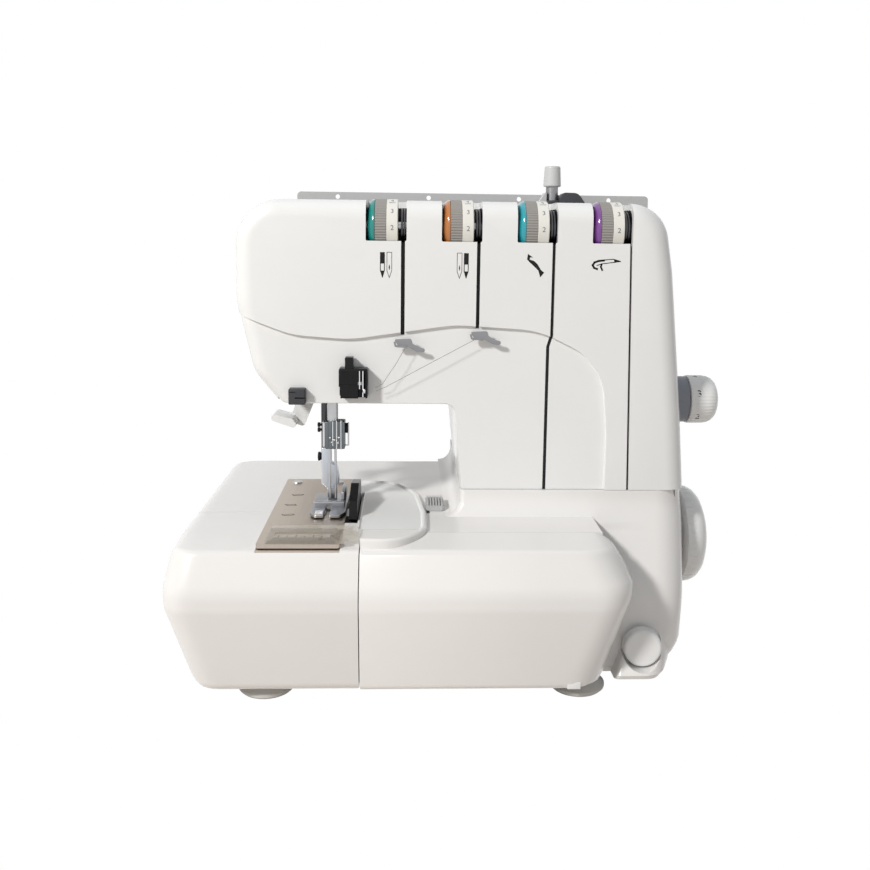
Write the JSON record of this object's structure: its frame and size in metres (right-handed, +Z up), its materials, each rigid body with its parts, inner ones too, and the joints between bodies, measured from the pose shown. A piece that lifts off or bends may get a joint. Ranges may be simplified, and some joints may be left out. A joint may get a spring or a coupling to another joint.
{
  "type": "serger overlock sewing machine",
  "caption": "Compact overlock sewing machine with an overhanging head, thumbwheel tension dials, a drop-down looper cover, and a rear spool stand with a telescopic thread guide.",
  "frame": {"origin": "centre of the footprint at table height", "axes": "+Z up, -Y towards the operator, +X to the operator's right, along the machine's length"},
  "size_m": [0.347, 0.276, 0.324],
  "materials": {
    "white_plastic": "glossy white",
    "base_white": "glossy warm white",
    "grey_plastic": "satin grey",
    "dark_plastic": "satin black",
    "clear_plastic": "clear plastic",
    "lens_plastic": "frosted",
    "rubber_grey": "light grey rubber",
    "belt_rubber": "black rubber",
    "frame_iron": "machined",
    "steel": "brushed",
    "plate_steel": "brushed, warm grey",
    "chrome": "polished",
    "dark_steel": "blackened",
    "motor_paint": "satin",
    "aluminium": "satin",
    "dial_teal": "glossy",
    "dial_orange": "glossy",
    "dial_turquoise": "glossy",
    "dial_purple": "glossy"
  },
  "bodies": {
    "machine": {"base_tray": "base_white", "rubber_feet": "rubber_grey", "side_cover": "base_white", "bed_cover": "base_white", "column_base_cover": "base_white", "finger_table": "white_plastic", "arm_front_cover": "white_plastic", "arm_rear_cover": "white_plastic", "slot_liners": "dark_plastic", "main_frame": "frame_iron", "head_bracket": "frame_iron", "stitch_plate": "plate_steel", "seam_guide": "clear_plastic", "screws": "steel", "lower_knife": "steel", "motor_housing": "motor_paint", "drive_belt": "belt_rubber", "take_up_cover": "dark_plastic", "thread_cutter": "dark_plastic", "face_thread_guides": "chrome", "tension_bracket": "dark_plastic", "tension_posts": "steel", "tension_discs": "steel", "length_dial_base": "grey_plastic", "power_inlet": "dark_plastic", "lamp_lens": "lens_plastic", "spool_stand": "base_white", "spool_pins": "base_white", "cone_holders": "base_white", "mast_tube": "aluminium"},
    "cover_carrier": {"cover_hinge_rod": "steel"},
    "looper_cover": {"looper_cover": "base_white"},
    "upper_knife": {"upper_knife": "dark_steel"},
    "feed_dogs": {"feed_dogs": "steel"},
    "lower_looper": {"lower_looper": "steel"},
    "upper_looper": {"upper_looper": "steel"},
    "drive_shaft": {"main_shaft": "steel", "handwheel": "white_plastic"},
    "motor_rotor": {"motor_rotor": "steel"},
    "needle_bar": {"needle_bar": "chrome", "needle_clamp": "dark_steel", "needles": "steel"},
    "presser_bar": {"presser_bar": "chrome", "foot_holder": "dark_steel"},
    "presser_foot": {"presser_foot": "chrome"},
    "lifter_lever": {"lifter_lever": "white_plastic"},
    "take_up_lever": {"take_up_lever": "steel"},
    "tension_dial_1": {"tension_dial_1": "dial_teal"},
    "tension_dial_2": {"tension_dial_2": "dial_orange"},
    "tension_dial_3": {"tension_dial_3": "dial_turquoise"},
    "tension_dial_4": {"tension_dial_4": "dial_purple"},
    "length_dial": {"length_dial": "white_plastic"},
    "feed_ratio_knob": {"feed_ratio_knob": "white_plastic"},
    "cutting_width_slide": {"cutting_width_slide": "grey_plastic"},
    "power_switch": {"power_switch": "dark_plastic"},
    "mast_middle": {"mast_middle": "aluminium"},
    "mast_top": {"mast_rod": "chrome", "mast_cap": "base_white", "thread_guide_bar": "grey_plastic", "guide_bar_collar": "dark_plastic"}
  },
  "joints": [
    {"name": "cover_slide", "type": "slide", "parent": "machine", "child": "cover_carrier", "axis": [1, 0, 0], "range_m": [0, 0.005]},
    {"name": "cover_tilt", "type": "hinge", "parent": "cover_carrier", "child": "looper_cover", "pos_m": [0.02, -0.122, 0.0155], "axis": [1, 0, 0], "range_deg": [0, 75]},
    {"name": "handwheel_turn", "type": "hinge", "parent": "machine", "child": "drive_shaft", "pos_m": [0.15, -0.02, 0.069], "axis": [1, 0, 0], "continuous": true},
    {"name": "motor_turn", "type": "hinge", "parent": "machine", "child": "motor_rotor", "pos_m": [0.114, 0.04, 0.045], "axis": [1, 0, 0], "continuous": true},
    {"name": "needle_stroke", "type": "slide", "parent": "machine", "child": "needle_bar", "axis": [0, 0, 1], "range_m": [-0.006, 0.018]},
    {"name": "take_up_swing", "type": "hinge", "parent": "machine", "child": "take_up_lever", "pos_m": [-0.064, -0.046, 0.181], "axis": [1, 0, 0], "range_deg": [-8.5, 3]},
    {"name": "lower_looper_swing", "type": "hinge", "parent": "machine", "child": "lower_looper", "pos_m": [-0.06, -0.06, 0.04], "axis": [0, 1, 0], "range_deg": [-14, 5]},
    {"name": "upper_looper_swing", "type": "hinge", "parent": "machine", "child": "upper_looper", "pos_m": [-0.028, -0.06, 0.05], "axis": [0, 1, 0], "range_deg": [-10, 6]},
    {"name": "knife_stroke", "type": "hinge", "parent": "machine", "child": "upper_knife", "pos_m": [-0.07, -0.024, 0.06], "axis": [1, 0, 0], "range_deg": [-5, 1.7]},
    {"name": "feed_stroke", "type": "slide", "parent": "machine", "child": "feed_dogs", "axis": [0, 1, 0], "range_m": [-0.001, 0.003]},
    {"name": "lifter_turn", "type": "hinge", "parent": "machine", "child": "lifter_lever", "pos_m": [-0.096, -0.021, 0.18], "axis": [0, 1, 0], "range_deg": [0, 15]},
    {"name": "presser_lift", "type": "slide", "parent": "machine", "child": "presser_bar", "axis": [0, 0, 1], "range_m": [0, 0.006]},
    {"name": "foot_rock", "type": "hinge", "parent": "presser_bar", "child": "presser_foot", "pos_m": [-0.084, -0.046, 0.1059], "axis": [1, 0, 0], "range_deg": [-3.2, 0]},
    {"name": "tension_turn_1", "type": "hinge", "parent": "machine", "child": "tension_dial_1", "pos_m": [-0.0506, -0.052, 0.277], "axis": [1, 0, 0], "range_deg": [-85, 210]},
    {"name": "tension_turn_2", "type": "hinge", "parent": "machine", "child": "tension_dial_2", "pos_m": [-0.0044, -0.052, 0.277], "axis": [1, 0, 0], "range_deg": [-85, 210]},
    {"name": "tension_turn_3", "type": "hinge", "parent": "machine", "child": "tension_dial_3", "pos_m": [0.0418, -0.052, 0.277], "axis": [1, 0, 0], "range_deg": [-85, 210]},
    {"name": "tension_turn_4", "type": "hinge", "parent": "machine", "child": "tension_dial_4", "pos_m": [0.088, -0.052, 0.277], "axis": [1, 0, 0], "range_deg": [-85, 210]},
    {"name": "length_turn", "type": "hinge", "parent": "machine", "child": "length_dial", "pos_m": [0.16, -0.025, 0.1645], "axis": [1, 0, 0], "range_deg": [-140, 140]},
    {"name": "feed_ratio_turn", "type": "hinge", "parent": "machine", "child": "feed_ratio_knob", "pos_m": [0.109, -0.104, 0.026], "axis": [0, -1, 0], "range_deg": [-120, 120]},
    {"name": "width_slide", "type": "slide", "parent": "machine", "child": "cutting_width_slide", "axis": [0, 1, 0], "range_m": [-0.004, 0.004]},
    {"name": "switch_rock", "type": "hinge", "parent": "machine", "child": "power_switch", "pos_m": [0.141, 0.044, 0.072], "axis": [0, 1, 0], "range_deg": [-14, 0]},
    {"name": "mast_middle_slide", "type": "slide", "parent": "machine", "child": "mast_middle", "axis": [0, 0, 1], "range_m": [0, 0.11]},
    {"name": "mast_top_slide", "type": "slide", "parent": "mast_middle", "child": "mast_top", "axis": [0, 0, 1], "range_m": [0, 0.12]}
  ],
  "couplings": [
    {"joint": "motor_turn", "follows": "handwheel_turn", "ratio": 2.6667},
    {"joint": "take_up_swing", "follows": "needle_stroke", "rad_per_m": -7.76},
    {"joint": "lower_looper_swing", "follows": "needle_stroke", "rad_per_m": -13},
    {"joint": "upper_looper_swing", "follows": "needle_stroke", "rad_per_m": -9},
    {"joint": "knife_stroke", "follows": "needle_stroke", "rad_per_m": -4.7},
    {"joint": "feed_stroke", "follows": "needle_stroke", "ratio": 0.15},
    {"joint": "lifter_turn", "follows": "presser_lift", "rad_per_m": 43.6},
    {"joint": "foot_rock", "follows": "presser_lift", "rad_per_m": -8.7}
  ]
}
